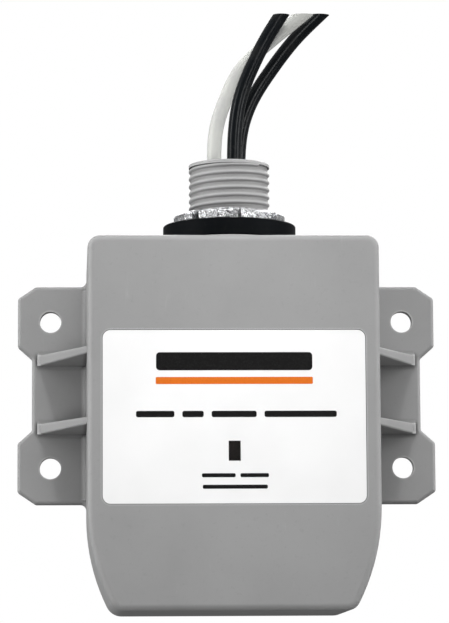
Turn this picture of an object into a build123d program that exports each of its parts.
from build123d import *
import math
import os

# Whole house surge protector: a drafted plastic tub with a wall flange, a threaded cable nipple on
# top, and a board with two thermally protected varistors inside.
# Frame: origin at the centre of the four-hole pattern, on the wall plane. +Z is up, the wall is the
# plane y = 0, and the body stands out towards -Y. +X is on the right for someone facing the unit.
# All sizes are in millimetres.

# ---- housing shell ----
BODY_DEPTH = 56.0          # wall plane to front face
HALF_WIDTH = 37.15         # at the front face
TOP_Z = 36.0
BOTTOM_Z = -59.4
DRAFT_GROWTH = 0.9         # how far top and sides grow from the front face to the wall plane
BOTTOM_DRAFT_SHARE = 0.2   # the bottom is nearly square to the front and grows this much less
SIDE_END_Z = -33.0         # below this height the sides curve inwards
SIDE_CURVE_R = 54.0
TOP_CORNER_R = 3.2
BOTTOM_CORNER_R = 3.5
WALL_T = 3.0
INNER_CORNER_R = 1.0       # least corner radius of the outlines inside the tub
FRONT_EDGE_R = 1.7

# ---- wall flange ----
FLANGE_T = 3.5
TAB_HALF_WIDTH = 56.55
TAB_HALF_HEIGHT = 29.6
TAB_CHAMFER_X = 4.9
TAB_CHAMFER_Z = 3.3
WAIST_HALF_WIDTH = 52.7
WAIST_HALF_HEIGHT = 9.7
WAIST_RAMP_Z = 3.4
FLANGE_EDGE_R = 1.0
FLANGE_ROOT_R = 1.6
FLANGE_CORNER_R = 1.5      # where the tabs meet the tub
TAB_CORNER_R = 1.1
HOLE_SPACING_X = 95.4
HOLE_SPACING_Z = 39.7
HOLE_R = 2.9

# ---- gussets between flange and side wall ----
GUSSET_Z = 9.3
GUSSET_ROOT_T = 2.9
GUSSET_TOP_T = 1.9
GUSSET_ROOT_R = 0.9
GUSSET_START_X = 51.2
GUSSET_LIP = 1.5
GUSSET_TOP_Y = -32.1
GUSSET_TOP_X = 37.4

# ---- cable nipple: trade size 1/2, on the middle of the body's depth ----
NIPPLE_Y = -28.0
THREAD_R = 10.67
THREAD_DEPTH = 0.45
THREAD_PITCH = 2.0
NIPPLE_TOP_Z = 58.65
NIPPLE_BORE_R = 7.6
NIPPLE_RIM = 0.9           # plain rim above the last thread
BOSS_R = 17.5
BOSS_TOP_Z = 37.6

# ---- washer and locknut ----
THREAD_CLEARANCE = 0.2     # between the thread's crests and the plain bores of washer and nut
WASHER_R = 17.5
WASHER_T = 4.6
LOCKNUT_R = 14.65
LOCKNUT_RING_R = 11.9
LOCKNUT_T = 3.5
LOCKNUT_LUG_T = 2.6
LOCKNUT_LUGS = 8
LOCKNUT_NOTCH = 2.2
LOCKNUT_TURN = 5.8         # degrees from straight in front to the nearest notch at rest

# ---- rear cover ----
COVER_T = 3.0
COVER_INSET = 1.5          # rim of the tub left around the cover
SEAL_T = 1.0
LEDGE_IN = 3.2             # inner edge of the ledge, measured in from the tub's outline
COVER_GAP = 0.1
COVER_SCREW_UPPER = (32.6, 31.5)
COVER_SCREW_LOWER = (27.2, -53.6)
COVER_BOSS_R = 3.4
COVER_BOSS_DEEP = 16.0
COVER_PILOT_R = 1.4
COVER_SCREW_HEAD_R = 3.3
COVER_SCREW_HEAD_T = 1.75
COVER_SCREW_TIP_Y = -14.0
SCREW_FIT = 0.02           # the screws' shanks stay this far off their pilot holes

# ---- label and indicator window ----
LABEL_HALF_WIDTH = 33.3
LABEL_TOP_Z = 11.5
LABEL_BOTTOM_Z = -32.5
LABEL_CORNER_R = 2.0
LABEL_T = 0.2
LABEL_RECESS = 0.3
LABEL_GAP = 0.15
WINDOW_WIDTH = 3.05
WINDOW_HEIGHT = 5.1
WINDOW_Z = -19.2

# ---- circuit board ----
BOARD_FRONT_Y = -45.0
BOARD_T = 1.6
BOARD_REAR_Y = BOARD_FRONT_Y + BOARD_T
BOARD_HALF_WIDTH = 29.0
BOARD_TOP_Z = 25.5
BOARD_BOTTOM_Z = -46.0
POST_X = 25.0
POST_UPPER_Z = 21.0
POST_LOWER_Z = -41.5
POST_R = 3.2
POST_PILOT_R = 1.1
BOARD_SCREW_HEAD_R = 2.5
BOARD_SCREW_HEAD_T = 1.7
BOARD_SCREW_HOLE_R = 1.4
BOARD_SCREW_REACH = 6.0
LEG_HOLE_PLAY = 0.05
LEG_OUT = 0.8              # how far the components' legs stand out in front of the board

# ---- varistors and their thermal disconnects ----
VARISTOR_X = 14.5
VARISTOR_THICK = 8.5
VARISTOR_SIDE = 32.0
VARISTOR_Z = 4.0
VARISTOR_LIFT = 1.5
VARISTOR_LEG_R = 0.6
VARISTOR_LEG_REACH = 9.0
PIVOT_X = 24.5
PIVOT_Y = -37.4
PIVOT_Z = -6.0
PIVOT_R = 1.0
ARM_LENGTH = 22.0
ARM_THICK = 1.6
HUB_R = 2.2
HUB_WIDTH = 3.6
HUB_CLEARANCE = 0.05
HUB_SIDE_PLAY = 0.2
RIDGE_NEAR = 7.0           # the arm's low ridge, measured from the pivot
RIDGE_FAR = 9.0
CHEEK_GAP = 7.2
CHEEK_T = 1.0
CHEEK_R = 3.0
BRACKET_HALF = 4.0
PIN_HEAD_R = 1.7
SPRING_WIRE_R = 0.3
SPRING_COIL_R = 1.9
SPRING_PITCH = 0.72
SPRING_TURNS = 3
CONTACT_LENGTH = 4.5
CONTACT_T = 1.0
SOLDER_GAP = 0.03

# ---- fuses and the lamp's small components ----
FUSE_X = 23.5
FUSE_LOW_Z = -36.0
FUSE_HIGH_Z = -14.5
FUSE_R = 2.9
FUSE_CAP = 5.0
FUSE_WIRE_R = 0.45
RESISTOR_X = 4.5
RESISTOR_LOW_Z = -33.0
RESISTOR_HIGH_Z = -26.5
RESISTOR_R = 1.25
RESISTOR_WIRE_R = 0.33
DIODE_X = 11.0
DIODE_LOW_Z = -26.0
DIODE_HIGH_Z = -20.8
DIODE_R = 1.35
DIODE_WIRE_R = 0.35
CAPACITOR_Z = -41.0
CAPACITOR_HALF_WIDTH = 8.5
CAPACITOR_HALF_THICK = 2.8
CAPACITOR_HEIGHT = 11.0
CAPACITOR_LEG_X = 5.0
CAPACITOR_LEG_R = 0.4
LED_R = 1.5
LED_RIM_R = 1.85
LED_LEG_X = 1.27
LED_LEG_R = 0.3
LEG_REACH = 2.0

# ---- leads ----
LEAD_R = 1.9
CONDUCTOR_R = 1.02
CONDUCTOR_BORE_R = 1.05
TERMINAL_Z = 15.0
TERMINAL_Y = -39.6
TERMINAL_SPACING = 6.6
TERMINAL_HALF_WIDTH = 2.3
TERMINAL_HALF_HEIGHT = 3.5
TERMINAL_DEPTH = 6.4
TERMINAL_LEG_R = 0.75
PLUG_LOW_Z = 44.0
PLUG_HIGH_Z = 54.0


def on_wall(sketch, y, depth):
    """Extrudes an (x, z) sketch from plane y towards the front by depth."""
    return extrude(Plane.XZ.offset(-y) * sketch, amount=depth)


def along_y(x, z, r, y_rear, y_front):
    """A round bar parallel to Y between two y values."""
    return on_wall(Pos(x, z) * Circle(r), y_rear, y_rear - y_front)


def along_z(x, y, r, z_low, z_high):
    """A round bar parallel to Z."""
    return Pos(x, y, (z_low + z_high) / 2) * Cylinder(r, z_high - z_low)


def along_x(y, z, r, x_low, x_high):
    """A round bar parallel to X."""
    bar = Rot(0, 90, 0) * Cylinder(r, x_high - x_low)
    return Pos((x_low + x_high) / 2, y, z) * bar


def block(x, y, z):
    """A box given by its three (low, high) spans."""
    size = [high - low for low, high in (x, y, z)]
    middle = [(high + low) / 2 for low, high in (x, y, z)]
    return Pos(*middle) * Box(*size)


def rod(start, end, r):
    """A straight piece of wire."""
    path = Line(start, end)
    return sweep(Plane(origin=start, z_dir=path % 0) * Circle(r), path=path)


def bent_wire(points, r):
    """Straight wires from point to point, with rounded elbows."""
    wire = rod(points[0], points[1], r)
    for start, end in zip(points[1:], points[2:]):
        wire += Pos(*start) * Sphere(r)
        wire += rod(start, end, r)
    return wire


# ---- outlines of the tub ----

def tub_outline(draft, inset):
    """The tub's outline at the front face, grown by draft and then moved in by inset: straight sides
    that curve in towards the bottom, and four rounded corners."""
    grow = draft - inset
    half = HALF_WIDTH + grow
    top = TOP_Z + grow
    bottom = BOTTOM_Z - draft * BOTTOM_DRAFT_SHARE + inset
    curve_r = SIDE_CURVE_R + grow
    drop = SIDE_END_Z - bottom
    half_bottom = half - curve_r + math.sqrt(curve_r ** 2 - drop ** 2)
    middle_angle = math.asin(drop / curve_r) / 2
    middle_x = half - curve_r * (1 - math.cos(middle_angle))
    middle_z = SIDE_END_Z - curve_r * math.sin(middle_angle)
    right = [
        Line((half, top), (half, SIDE_END_Z)),
        ThreePointArc((half, SIDE_END_Z), (middle_x, middle_z), (half_bottom, bottom)),
    ]
    left = [
        ThreePointArc((-half_bottom, bottom), (-middle_x, middle_z), (-half, SIDE_END_Z)),
        Line((-half, SIDE_END_Z), (-half, top)),
    ]
    base = [Line((half_bottom, bottom), (-half_bottom, bottom))]
    lid = [Line((-half, top), (half, top))]
    face = make_face(right + base + left + lid)
    upper = face.vertices().filter_by(lambda v: v.Y > top - 0.01)
    face = fillet(upper, max(TOP_CORNER_R + grow, INNER_CORNER_R))
    lower = face.vertices().filter_by(lambda v: v.Y < bottom + 0.01)
    return fillet(lower, max(BOTTOM_CORNER_R + grow, INNER_CORNER_R))


def draft_at(y):
    """How far the drafted sides stand out at depth y, compared with the front face."""
    return DRAFT_GROWTH * (y + BODY_DEPTH) / BODY_DEPTH


def drafted(inset, y_rear, y_front):
    """A drafted block with the tub's outline moved in by inset, between two depths."""
    rear = Plane.XZ.offset(-y_rear) * tub_outline(draft_at(y_rear), inset)
    front = Plane.XZ.offset(-y_front) * tub_outline(draft_at(y_front), inset)
    return loft([rear, front], ruled=True)


def mirrored_points(upper, lower):
    """Four places, mirrored left and right, from one upper and one lower (x, z) place."""
    return [(side * x, z) for x, z in (upper, lower) for side in (-1, 1)]


COVER_SCREWS = mirrored_points(COVER_SCREW_UPPER, COVER_SCREW_LOWER)
BOARD_POSTS = mirrored_points((POST_X, POST_UPPER_Z), (POST_X, POST_LOWER_Z))


# ---- housing ----

def wall_flange():
    tab, waist = TAB_HALF_WIDTH, WAIST_HALF_WIDTH
    quarter = [
        (0, TAB_HALF_HEIGHT),
        (tab - TAB_CHAMFER_X, TAB_HALF_HEIGHT),
        (tab, TAB_HALF_HEIGHT - TAB_CHAMFER_Z),
        (tab, WAIST_HALF_HEIGHT + WAIST_RAMP_Z),
        (waist, WAIST_HALF_HEIGHT),
        (waist, 0),
        (0, 0),
    ]
    sheet = make_face(Polyline(*quarter, close=True))
    sheet += mirror(sheet, about=Plane.XZ)
    sheet += mirror(sheet, about=Plane.YZ)
    sheet = fillet(sheet.vertices().filter_by(lambda v: abs(v.X) > 1), TAB_CORNER_R)
    return on_wall(sheet, 0, FLANGE_T)


def blend_flange(shell):
    """Rounds the corners where the tabs meet the tub, softens the flange's front edge and adds a
    cove along the root."""
    wall_x = HALF_WIDTH + draft_at(-FLANGE_T)
    corners = [
        edge for edge in shell.edges()
        if abs((edge % 0.5).Y) > 0.9 and (edge @ 0.5).Y > -FLANGE_T
        and abs(abs((edge @ 0.5).Z) - TAB_HALF_HEIGHT) < 0.05 and abs((edge @ 0.5).X) < wall_x + 1
    ]
    shell = fillet(corners, FLANGE_CORNER_R)
    rim = [
        edge for edge in shell.edges()
        if abs((edge @ 0.5).Y + FLANGE_T) < 0.02
        and (abs((edge @ 0.5).X) > wall_x + 1.9 or abs((edge @ 0.5).Z) > TAB_HALF_HEIGHT - 1.6)
    ]
    shell = fillet(rim, FLANGE_EDGE_R)
    for side in (-1, 1):
        shell += root_cove(side * wall_x, side)
    for x in (-HOLE_SPACING_X / 2, HOLE_SPACING_X / 2):
        for z in (-HOLE_SPACING_Z / 2, HOLE_SPACING_Z / 2):
            shell -= along_y(x, z, HOLE_R, 1, -FLANGE_T - 1)
    return shell


def root_cove(wall_x, side):
    r = FLANGE_ROOT_R
    outer_x = wall_x + side * r
    outer_y = -FLANGE_T - r
    step = 0.6
    profile = make_face(Polyline(
        (wall_x - side * step, -FLANGE_T + step),
        (outer_x, -FLANGE_T + step),
        (outer_x, outer_y),
        (wall_x - side * step, outer_y),
        close=True,
    ))
    profile -= Pos(outer_x, outer_y) * Circle(r)
    return extrude(profile, amount=TAB_HALF_HEIGHT - FLANGE_EDGE_R - 0.1, both=True)


def gusset(side, z):
    """A triangular web from the flange up the side wall, thicker at its root."""
    root_x = 30.0
    lip_y = -FLANGE_T - GUSSET_LIP
    outline = make_face(Polyline(
        (side * root_x, -1.0),
        (side * GUSSET_START_X, -1.0),
        (side * GUSSET_START_X, lip_y + 0.5),
        (side * (GUSSET_START_X - 0.8), lip_y),
        (side * GUSSET_TOP_X, GUSSET_TOP_Y),
        (side * root_x, GUSSET_TOP_Y),
        close=True,
    ))
    web = extrude(outline, amount=GUSSET_ROOT_T, both=True) & gusset_section(side)
    free_edges = web.edges().filter_by(lambda e: is_on_gusset_slope(e, lip_y))
    return Pos(0, 0, z) * fillet(free_edges, 0.5)


def gusset_section(side):
    """The gusset's cross-section from the flange forwards, with a cove on each side of its root."""
    r = GUSSET_ROOT_R
    root, tip = GUSSET_ROOT_T / 2, GUSSET_TOP_T / 2
    cove_y = -FLANGE_T - r
    web = Polyline((0, 0), (root, -FLANGE_T), (tip, GUSSET_TOP_Y), (0, GUSSET_TOP_Y), close=True)
    foot = Polyline((0, 0), (root + r, 0), (root + r, cove_y), (0, cove_y), close=True)
    half = make_face(web) + make_face(foot)
    half -= Pos(root + r, cove_y) * Circle(r)
    both = half + mirror(half, about=Plane.YZ)
    # the sketch's x is the gusset's thickness: turn it up to +Z, and its length along +X
    bar = extrude(both, amount=TAB_HALF_WIDTH)
    return Rot(0, side * 90, 0) * bar


def is_on_gusset_slope(edge, lip_y):
    """True for an edge of the web's sloping free face that isn't straight across it."""
    middle = edge @ 0.5
    slope = (GUSSET_TOP_Y - lip_y) / (GUSSET_TOP_X - GUSSET_START_X + 0.8)
    slope_y = lip_y + slope * (abs(middle.X) - GUSSET_START_X + 0.8)
    return abs(middle.Y - slope_y) < 0.05 and abs((edge % 0.5).Z) < 0.5


def nipple():
    """Threaded tube. The right-hand thread is a swept ridge on a plain core, a little steeper on
    its upper flank."""
    core_r = THREAD_R - THREAD_DEPTH
    thread_low = BOSS_TOP_Z + 0.4
    thread_high = NIPPLE_TOP_Z - NIPPLE_RIM
    core = along_z(0, NIPPLE_Y, core_r, BOSS_TOP_Z - 3, NIPPLE_TOP_Z)
    helix = Helix(pitch=THREAD_PITCH, height=thread_high - thread_low, radius=core_r)
    ridge = Polyline(
        (-0.15, -0.46 * THREAD_PITCH),
        (THREAD_DEPTH, 0.0),
        (THREAD_DEPTH, 0.14 * THREAD_PITCH),
        (-0.15, 0.46 * THREAD_PITCH),
        close=True,
    )
    start = Plane(origin=helix @ 0, x_dir=(1, 0, 0), z_dir=helix % 0)
    section = start * make_face(ridge)
    thread = sweep(section, path=helix, is_frenet=True)
    rim = along_z(0, NIPPLE_Y, THREAD_R, thread_high, NIPPLE_TOP_Z)
    rim = fillet(rim.edges().filter_by(GeomType.CIRCLE).sort_by(Axis.Z)[-1], 0.3)
    return core + rim + Pos(0, NIPPLE_Y, thread_low) * thread


def housing():
    shell = drafted(0, 0, -BODY_DEPTH)
    shell = fillet(shell.faces().sort_by(Axis.Y)[0].edges(), FRONT_EDGE_R)
    shell = blend_flange(shell + wall_flange())
    for side in (-1, 1):
        for z in (-GUSSET_Z, GUSSET_Z):
            shell += gusset(side, z)
    shell += along_z(0, NIPPLE_Y, BOSS_R, TOP_Z - 2, BOSS_TOP_Z)
    # hollow the tub and open it at the back, with a ledge for the cover and its seal
    ledge_y = -COVER_T - SEAL_T
    inner_front = -BODY_DEPTH + WALL_T
    cavity = drafted(LEDGE_IN, ledge_y, inner_front)
    shell -= cavity
    shell -= drafted(COVER_INSET, 0, ledge_y)
    # posts and bosses inside
    for x, z in COVER_SCREWS:
        boss = along_y(x, z, COVER_BOSS_R, ledge_y, ledge_y - COVER_BOSS_DEEP)
        shell += boss & drafted(1.0, 0, -BODY_DEPTH)
        shell -= along_y(x, z, COVER_PILOT_R, ledge_y + 1, ledge_y - COVER_BOSS_DEEP + 2)
    for x, z in BOARD_POSTS:
        shell += along_y(x, z, POST_R, BOARD_FRONT_Y, inner_front - 1)
        shell -= along_y(x, z, POST_PILOT_R, BOARD_FRONT_Y + 1, inner_front + 1)
    # label recess and indicator window
    shell -= label_sheet(LABEL_GAP, -BODY_DEPTH + LABEL_RECESS, LABEL_RECESS + 1)
    window = Pos(0, WINDOW_Z) * Rectangle(WINDOW_WIDTH, WINDOW_HEIGHT)
    shell -= on_wall(window, inner_front + 1, WALL_T + 2)
    # cable nipple, open into the tub
    shell += nipple()
    shell -= along_z(0, NIPPLE_Y, NIPPLE_BORE_R, TOP_Z - WALL_T - 3, NIPPLE_TOP_Z + 1)
    mouth = Pos(0, NIPPLE_Y, NIPPLE_TOP_Z - 0.5) * Cone(NIPPLE_BORE_R, NIPPLE_BORE_R + 1.0, 1.01)
    return shell - mouth


# ---- outside pieces ----

def label_sheet(gap, y_rear, depth):
    height = LABEL_TOP_Z - LABEL_BOTTOM_Z
    middle = (LABEL_TOP_Z + LABEL_BOTTOM_Z) / 2
    sheet = RectangleRounded(
        2 * LABEL_HALF_WIDTH + 2 * gap, height + 2 * gap, LABEL_CORNER_R + gap
    )
    return on_wall(Pos(0, middle) * sheet, y_rear, depth)


def front_label():
    film = label_sheet(0, -BODY_DEPTH + LABEL_RECESS, LABEL_T)
    window = Pos(0, WINDOW_Z) * Rectangle(WINDOW_WIDTH, WINDOW_HEIGHT)
    return film - on_wall(window, -BODY_DEPTH + 2, 4)


def indicator_lens():
    gap = 0.05
    inner_front = -BODY_DEPTH + WALL_T
    face = Rectangle(WINDOW_WIDTH - 2 * gap, WINDOW_HEIGHT - 2 * gap)
    lens = on_wall(Pos(0, WINDOW_Z) * face, inner_front, WALL_T - 0.2)
    lens = fillet(lens.faces().sort_by(Axis.Y)[0].edges(), 0.2)
    rim = RectangleRounded(WINDOW_WIDTH + 3, WINDOW_HEIGHT + 3, 0.8)
    return lens + on_wall(Pos(0, WINDOW_Z) * rim, inner_front + 1.2, 1.2)


def rear_cover():
    cover = drafted(COVER_INSET + COVER_GAP, 0, -COVER_T)
    for x, z in COVER_SCREWS:
        cover -= along_y(x, z, COVER_PILOT_R + 0.4, 1, -COVER_T - 1)
        cover -= countersink(x, z, COVER_SCREW_HEAD_R + 0.1, COVER_SCREW_HEAD_T + 0.05)
    return cover


def countersink(x, z, wide, deep):
    """A cone that is wide at y = 0 and narrows towards the front."""
    cone = Cone(wide - deep, wide, deep)
    return Pos(x, -deep / 2, z) * (Rot(-90, 0, 0) * cone)


def cover_seal():
    ledge_y = -COVER_T - SEAL_T
    gap = 0.1
    ring = drafted(COVER_INSET + gap, -COVER_T, ledge_y)
    return ring - drafted(LEDGE_IN, -COVER_T + 0.5, ledge_y - 0.5)


def cover_screws():
    screws = []
    for x, z in COVER_SCREWS:
        screw = countersink(x, z, COVER_SCREW_HEAD_R, COVER_SCREW_HEAD_T)
        screw += along_y(x, z, COVER_PILOT_R - SCREW_FIT, -1.0, COVER_SCREW_TIP_Y)
        screw -= recess_cross(x, z, 0, 1.1)
        screws.append(screw)
    return Compound(children=screws)


def recess_cross(x, z, y_face, deep):
    """Cross recess for a driver in a screw head that faces the wall."""
    cross = Rectangle(3.2, 0.7) + Rectangle(0.7, 3.2)
    return on_wall(Pos(x, z) * cross, y_face + 0.5, deep + 0.5)


def sealing_washer():
    washer = along_z(0, NIPPLE_Y, WASHER_R, BOSS_TOP_Z, BOSS_TOP_Z + WASHER_T)
    washer = fillet(washer.edges().filter_by(GeomType.CIRCLE), 0.5)
    return washer - along_z(0, NIPPLE_Y, THREAD_R + THREAD_CLEARANCE, BOSS_TOP_Z - 1, BOSS_TOP_Z + 9)


def locknut():
    """A stamped steel ring with lugs round its edge for a driver or pliers."""
    low = BOSS_TOP_Z + WASHER_T
    ring = along_z(0, NIPPLE_Y, LOCKNUT_RING_R, low, low + LOCKNUT_T)
    ring = chamfer(ring.edges().sort_by(Axis.Z)[-1], 0.5)
    lug_disc = along_z(0, NIPPLE_Y, LOCKNUT_R, low, low + LOCKNUT_LUG_T)
    lug_disc = chamfer(lug_disc.edges().filter_by(GeomType.CIRCLE), 0.35)
    notch_deep = LOCKNUT_R - LOCKNUT_RING_R - 0.3
    notch = Pos(LOCKNUT_R - notch_deep / 2 + 1, 0, low + 1) * Box(notch_deep + 2, LOCKNUT_NOTCH, 8)
    for index in range(LOCKNUT_LUGS):
        angle = LOCKNUT_TURN - 90 + index * 360 / LOCKNUT_LUGS
        lug_disc -= Pos(0, NIPPLE_Y, 0) * (Rot(0, 0, angle) * notch)
    nut = ring + lug_disc
    return nut - along_z(0, NIPPLE_Y, THREAD_R + THREAD_CLEARANCE, low - 1, low + 9)


# ---- circuit board and what sits on it ----

def board_hole_places():
    """Places and radii of the holes for component leads."""
    legs = [(x, TERMINAL_Z, TERMINAL_LEG_R) for x in terminal_places()]
    for side in (-1, 1):
        legs += [(side * VARISTOR_X, z, VARISTOR_LEG_R) for z in varistor_leg_heights()]
        legs += [(side * FUSE_X, z, FUSE_WIRE_R) for z in fuse_leg_heights()]
        legs += [(side * RESISTOR_X, z, RESISTOR_WIRE_R) for z in resistor_leg_heights()]
        legs += [(side * DIODE_X, z, DIODE_WIRE_R) for z in diode_leg_heights()]
        legs.append((side * LED_LEG_X, WINDOW_Z, LED_LEG_R))
        legs.append((side * CAPACITOR_LEG_X, CAPACITOR_Z, CAPACITOR_LEG_R))
    return [(x, z, r + LEG_HOLE_PLAY) for x, z, r in legs]


def circuit_board():
    height = BOARD_TOP_Z - BOARD_BOTTOM_Z
    middle = (BOARD_TOP_Z + BOARD_BOTTOM_Z) / 2
    sheet = Pos(0, middle) * RectangleRounded(2 * BOARD_HALF_WIDTH, height, 2.0)
    board = on_wall(sheet, BOARD_REAR_Y, BOARD_T)
    for x, z in BOARD_POSTS:
        board -= along_y(x, z, BOARD_SCREW_HOLE_R, BOARD_REAR_Y + 1, BOARD_FRONT_Y - 1)
    for x, z, r in board_hole_places():
        board -= along_y(x, z, r, BOARD_REAR_Y + 1, BOARD_FRONT_Y - 1)
    return board


def board_screws():
    screws = []
    head_y = BOARD_REAR_Y + BOARD_SCREW_HEAD_T
    for x, z in BOARD_POSTS:
        head = along_y(x, z, BOARD_SCREW_HEAD_R, head_y, BOARD_REAR_Y)
        head = fillet(head.edges().sort_by(Axis.Y)[-1], 0.7)
        head -= recess_cross(x, z, head_y, 0.8)
        tip_y = BOARD_FRONT_Y - BOARD_SCREW_REACH
        shank = along_y(x, z, POST_PILOT_R - SCREW_FIT, BOARD_REAR_Y + 0.1, tip_y)
        screws.append(head + shank)
    return Compound(children=screws)


def varistor_leg_heights():
    return (VARISTOR_Z - VARISTOR_LEG_REACH, VARISTOR_Z + VARISTOR_LEG_REACH)


def varistor(side):
    """Square metal-oxide block with a thick epoxy coat, on two legs."""
    x = side * VARISTOR_X
    low_y = BOARD_REAR_Y + VARISTOR_LIFT
    half = VARISTOR_SIDE / 2
    body = block(
        (x - VARISTOR_THICK / 2, x + VARISTOR_THICK / 2),
        (low_y, low_y + VARISTOR_SIDE),
        (VARISTOR_Z - half, VARISTOR_Z + half),
    )
    body = fillet(body.edges(), 1.6)
    for z in varistor_leg_heights():
        body += along_y(x, z, VARISTOR_LEG_R, low_y + 1, BOARD_FRONT_Y - LEG_OUT)
    return body


def contact_tabs():
    """Copper tabs on the varistors. Each arm's tip is soldered to its tab."""
    tabs = []
    for side in (-1, 1):
        inner = VARISTOR_X + VARISTOR_THICK / 2
        outer = PIVOT_X + HUB_R
        span = sorted((side * (inner + 0.01), side * outer))
        low = PIVOT_Z + ARM_THICK / 2 + SOLDER_GAP
        end_y = PIVOT_Y + ARM_LENGTH - 0.5
        tabs.append(block(span, (end_y - CONTACT_LENGTH, end_y), (low, low + CONTACT_T)))
    return Compound(children=tabs)


def hub_span(side):
    """The x span of an arm's hub: it fills the half of the clevis nearer the middle."""
    inner = PIVOT_X - CHEEK_GAP / 2 + HUB_SIDE_PLAY
    return sorted((side * inner, side * (inner + HUB_WIDTH)))


def disconnect_bracket(side):
    """Brass clevis soldered to the board. It holds the pivot pin."""
    x = side * PIVOT_X
    outer = CHEEK_GAP / 2 + CHEEK_T
    base_span = (BOARD_REAR_Y, BOARD_REAR_Y + CHEEK_T)
    clevis = block((x - outer, x + outer), base_span, (PIVOT_Z - BRACKET_HALF, PIVOT_Z + BRACKET_HALF))
    for edge in (-outer, CHEEK_GAP / 2):
        span = (x + edge, x + edge + CHEEK_T)
        clevis += block(span, (BOARD_REAR_Y, PIVOT_Y), (PIVOT_Z - CHEEK_R, PIVOT_Z + CHEEK_R))
        clevis += along_x(PIVOT_Y, PIVOT_Z, CHEEK_R, *span)
    return clevis - along_x(PIVOT_Y, PIVOT_Z, PIVOT_R + 0.01, x - outer - 1, x + outer + 1)


def disconnect_pin(side):
    x = side * PIVOT_X
    outer = CHEEK_GAP / 2 + CHEEK_T
    shank = along_x(PIVOT_Y, PIVOT_Z, PIVOT_R, x - outer - 0.6, x + outer + 0.6)
    head_x = sorted((side * (PIVOT_X + outer + 0.02), side * (PIVOT_X + outer + 0.8)))
    return shank + along_x(PIVOT_Y, PIVOT_Z, PIN_HEAD_R, *head_x)


def disconnect_arm(side):
    """Brass arm on its hub. A low ridge takes the push of the spring's leg."""
    low, high = hub_span(side)
    tip = PIVOT_Y + ARM_LENGTH
    half = ARM_THICK / 2
    blade = block((low, high), (PIVOT_Y + 1.5, tip), (PIVOT_Z - half, PIVOT_Z + half))
    blade = fillet(blade.edges().filter_by(Axis.Z).sort_by(Axis.Y)[-2:], 1.0)
    arm = blade + along_x(PIVOT_Y, PIVOT_Z, HUB_R, low, high)
    ridge_high = SPRING_COIL_R - SPRING_WIRE_R - 0.05
    ridge_span = (PIVOT_Y + RIDGE_NEAR, PIVOT_Y + RIDGE_FAR)
    arm += block((low, high), ridge_span, (PIVOT_Z, PIVOT_Z + ridge_high))
    return arm - along_x(PIVOT_Y, PIVOT_Z, PIVOT_R + HUB_CLEARANCE, low - 1, high + 1)


def disconnect_spring(side):
    """Torsion spring on the pin, beside the hub: three coils, a leg on the bracket's base and a leg
    hooked over the arm. The left one is the right one's mirror image."""
    r = SPRING_WIRE_R
    length = SPRING_TURNS * SPRING_PITCH
    first = hub_span(1)[1] + 0.55
    last = first + length
    coil = Helix(pitch=SPRING_PITCH, height=length, radius=SPRING_COIL_R)
    wire = sweep(Plane(origin=coil @ 0, z_dir=coil % 0) * Circle(r), path=coil, is_frenet=True)
    # the coil is made round +Z starting on +X: lay its axis along +X, starting on +Z
    wire = Pos(last, PIVOT_Y, PIVOT_Z) * (Rot(0, -90, 0) * wire)
    leg_z = PIVOT_Z + SPRING_COIL_R
    hook_y = PIVOT_Y + (RIDGE_NEAR + RIDGE_FAR) / 2
    hook_end = (first - 3.5, hook_y, leg_z)
    wire += bent_wire([(last, PIVOT_Y, leg_z), (last, BOARD_REAR_Y + 1.4, leg_z)], r)
    wire += bent_wire([(first, PIVOT_Y, leg_z), (first, hook_y, leg_z), hook_end], r)
    for x in (first, last):
        wire += Pos(x, PIVOT_Y, leg_z) * Sphere(r)
    return wire if side > 0 else mirror(wire, about=Plane.YZ)


def axial_component(x, z_low, z_high, body_r, wire_r, cap=0.0):
    """A cylinder lying along Z above the board, with a leg bent down at each end."""
    y = BOARD_REAR_Y + body_r + 0.4
    body = along_z(x, y, body_r, z_low, z_high)
    if cap:
        body += along_z(x, y, body_r + 0.15, z_low, z_low + cap)
        body += along_z(x, y, body_r + 0.15, z_high - cap, z_high)
    else:
        body = fillet(body.edges().filter_by(GeomType.CIRCLE), body_r * 0.4)
    for end, out in ((z_low, -LEG_REACH), (z_high, LEG_REACH)):
        root = (x, y, end - out * 0.2)
        elbow = (x, y, end + out)
        tip = (x, BOARD_FRONT_Y - LEG_OUT, end + out)
        body += bent_wire([root, elbow, tip], wire_r)
    return body


def fuse_leg_heights():
    return (FUSE_LOW_Z - LEG_REACH, FUSE_HIGH_Z + LEG_REACH)


def resistor_leg_heights():
    return (RESISTOR_LOW_Z - LEG_REACH, RESISTOR_HIGH_Z + LEG_REACH)


def diode_leg_heights():
    return (DIODE_LOW_Z - LEG_REACH, DIODE_HIGH_Z + LEG_REACH)


def pair_of(x, z_low, z_high, body_r, wire_r, cap=0.0):
    both = [axial_component(side * x, z_low, z_high, body_r, wire_r, cap) for side in (-1, 1)]
    return Compound(children=both)


def filter_capacitor():
    half_x, half_z = CAPACITOR_HALF_WIDTH, CAPACITOR_HALF_THICK
    low_y = BOARD_REAR_Y + 0.3
    depth = (low_y, low_y + CAPACITOR_HEIGHT)
    body = block((-half_x, half_x), depth, (CAPACITOR_Z - half_z, CAPACITOR_Z + half_z))
    body = fillet(body.edges(), 0.6)
    for x in (-CAPACITOR_LEG_X, CAPACITOR_LEG_X):
        body += along_y(x, CAPACITOR_Z, CAPACITOR_LEG_R, low_y + 1, BOARD_FRONT_Y - LEG_OUT)
    return body


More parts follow.
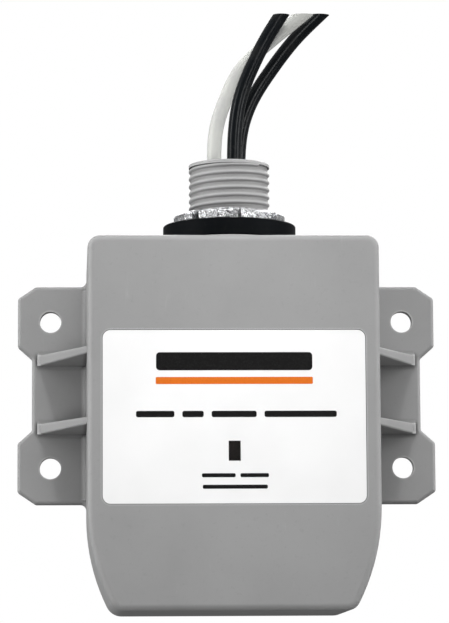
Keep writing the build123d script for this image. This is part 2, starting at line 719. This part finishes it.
def indicator_led():
    """Round lamp on the front of the board, just behind the window's lens."""
    base_y = BOARD_FRONT_Y - 0.5
    dome_y = BOARD_FRONT_Y - 3.6
    lamp = along_y(0, WINDOW_Z, LED_R, base_y, dome_y)
    lamp += Pos(0, dome_y, WINDOW_Z) * Sphere(LED_R)
    lamp += along_y(0, WINDOW_Z, LED_RIM_R, base_y, base_y - 0.9)
    for x in (-LED_LEG_X, LED_LEG_X):
        lamp += along_y(x, WINDOW_Z, LED_LEG_R, BOARD_REAR_Y + 1.0, base_y - 0.5)
    return lamp


def terminal_places():
    return (-TERMINAL_SPACING, 0.0, TERMINAL_SPACING)


def lead_terminals():
    """Tinned brass blocks on the board. The bare end of each lead is soldered in from above."""
    blocks = []
    depth = (BOARD_REAR_Y, BOARD_REAR_Y + TERMINAL_DEPTH)
    height = (TERMINAL_Z - TERMINAL_HALF_HEIGHT, TERMINAL_Z + TERMINAL_HALF_HEIGHT)
    for x in terminal_places():
        body = block((x - TERMINAL_HALF_WIDTH, x + TERMINAL_HALF_WIDTH), depth, height)
        body = chamfer(body.faces().sort_by(Axis.Y)[-1].edges(), 0.5)
        body += along_y(x, TERMINAL_Z, TERMINAL_LEG_R, BOARD_REAR_Y + 0.1, BOARD_FRONT_Y - LEG_OUT)
        body -= along_z(x, TERMINAL_Y, CONDUCTOR_BORE_R, TERMINAL_Z - 1.5, TERMINAL_Z + 9)
        blocks.append(body)
    return Compound(children=blocks)


# ---- leads ----

# each lead: terminal x, height of its level cut end, and places on its centre line from the
# nipple's bore onwards
LEAD_PATHS = {
    "white_lead": (-TERMINAL_SPACING, 99.7, [
        (-4.1, -28.2, 34), (-3.9, -28.0, 58), (-3.2, -27.6, 69), (-0.6, -27.0, 77),
        (3.1, -26.8, 84.5), (9.3, -26.8, 90.9), (20.5, -27.2, 100.2), (23.8, -27.4, 103.0),
    ]),
    "black_lead_1": (0.0, 98.6, [
        (1.2, -31.7, 34), (1.2, -31.8, 58), (1.7, -31.8, 69), (3.0, -31.8, 76.2),
        (6.0, -31.8, 84.2), (10.8, -31.8, 93.6), (16.8, -31.8, 103.0),
    ]),
    "black_lead_2": (TERMINAL_SPACING, 100.8, [
        (2.8, -24.9, 34), (2.6, -24.8, 58), (3.8, -24.4, 70), (6.5, -24.0, 77.2),
        (11.3, -23.2, 85), (18.8, -22.6, 94.8), (27.0, -22.2, 103.0),
    ]),
}
LEAD_STRIP_Z = TERMINAL_Z + 5.5


def lead_centre_line(name, low_z):
    terminal_x, _, places = LEAD_PATHS[name]
    start = (terminal_x, TERMINAL_Y, low_z)
    shoulder = (terminal_x, TERMINAL_Y, LEAD_STRIP_Z + 1.5)
    first_bend = Spline(shoulder, places[0], tangents=((0, 0, 1), (0, 0, 1)))
    before, last = places[-2:]
    run = Spline(*places, tangents=((0, 0, 1), (last[0] - before[0], 0, last[2] - before[2])))
    return Line(start, shoulder) + first_bend + run


def lead_rod(name, low_z, r):
    """A round bar along a lead's centre line, cut off level at the lead's end height."""
    path = lead_centre_line(name, low_z)
    start = path @ 0
    bar = sweep(Plane(origin=start, z_dir=(0, 0, 1)) * Circle(r), path=path)
    end_z = LEAD_PATHS[name][1]
    return bar - block((-60, 90), (-90, 60), (end_z, end_z + 30))


def lead_insulation(name):
    tube = lead_rod(name, LEAD_STRIP_Z, LEAD_R)
    return tube - lead_rod(name, LEAD_STRIP_Z - 2, CONDUCTOR_BORE_R)


def lead_conductors():
    return Compound(children=[lead_rod(name, TERMINAL_Z - 1, CONDUCTOR_R) for name in LEAD_PATHS])


def lead_seal_plug():
    """Potting that closes the nipple's bore round the three leads."""
    plug = along_z(0, NIPPLE_Y, NIPPLE_BORE_R - 0.01, PLUG_LOW_Z, PLUG_HIGH_Z)
    for name in LEAD_PATHS:
        plug -= lead_rod(name, LEAD_STRIP_Z, LEAD_R + 0.02)
    return plug


# ---- writing the parts ----

def all_parts():
    fuse = (FUSE_X, FUSE_LOW_Z, FUSE_HIGH_Z, FUSE_R, FUSE_WIRE_R, FUSE_CAP)
    resistor = (RESISTOR_X, RESISTOR_LOW_Z, RESISTOR_HIGH_Z, RESISTOR_R, RESISTOR_WIRE_R)
    diode = (DIODE_X, DIODE_LOW_Z, DIODE_HIGH_Z, DIODE_R, DIODE_WIRE_R)
    parts = {
        "housing": housing(),
        "rear_cover": rear_cover(),
        "cover_seal": cover_seal(),
        "cover_screws": cover_screws(),
        "front_label": front_label(),
        "indicator_lens": indicator_lens(),
        "indicator_led": indicator_led(),
        "sealing_washer": sealing_washer(),
        "locknut": locknut(),
        "circuit_board": circuit_board(),
        "board_screws": board_screws(),
        "contact_tabs": contact_tabs(),
        "line_fuses": pair_of(*fuse),
        "led_resistors": pair_of(*resistor),
        "rectifier_diodes": pair_of(*diode),
        "filter_capacitor": filter_capacitor(),
        "lead_terminals": lead_terminals(),
        "lead_conductors": lead_conductors(),
        "lead_seal_plug": lead_seal_plug(),
    }
    for name in LEAD_PATHS:
        parts[name] = lead_insulation(name)
    for number, side in ((1, -1), (2, 1)):
        parts[f"varistor_line_{number}"] = varistor(side)
        parts[f"disconnect_bracket_{number}"] = disconnect_bracket(side)
        parts[f"disconnect_pin_{number}"] = disconnect_pin(side)
        parts[f"disconnect_arm_{number}"] = disconnect_arm(side)
        parts[f"disconnect_spring_{number}"] = disconnect_spring(side)
    return parts


os.makedirs("parts", exist_ok=True)
for node, shape in all_parts().items():
    shape.label = node
    export_step(shape, f"parts/{node}.step")
